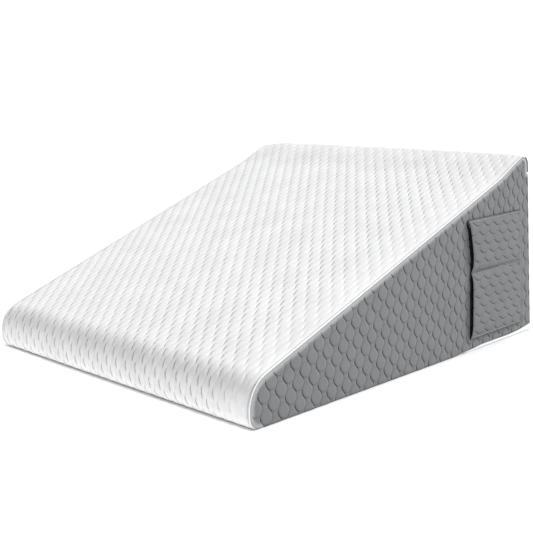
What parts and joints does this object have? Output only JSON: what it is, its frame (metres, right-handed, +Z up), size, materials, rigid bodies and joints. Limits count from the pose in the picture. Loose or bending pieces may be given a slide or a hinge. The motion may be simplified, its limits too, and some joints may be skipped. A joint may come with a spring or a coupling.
{
  "type": "contour pillow, a bed wedge with a rounded nose",
  "caption": "Contour pillow: foam bed wedge with white knit top, grey relief side panels and a double side pocket.",
  "frame": {"origin": "middle of the underside of the whole box, on the surface the pillow rests on", "axes": "+X to the pocket side, +Y from the rounded nose to the high back, +Z up"},
  "size_m": [0.6144, 0.668, 0.305],
  "materials": {
    "white_knit": "matte air-layer knit with raised cells",
    "white_bottom": "plain matte cloth",
    "grey_knit": "matte air-layer knit with raised cells",
    "grey_pocket": "matte air-layer knit, pattern turned",
    "white_seam": "smooth rolled cloth edge"
  },
  "bodies": {
    "root": {"cushion": "white_knit", "bottom_panel": "white_bottom", "side_panel_right": "grey_knit", "side_panel_left": "grey_knit", "back_panel": "grey_knit", "pocket": "grey_pocket", "top_seam_right": "white_seam", "top_seam_left": "white_seam"}
  },
  "joints": []
}
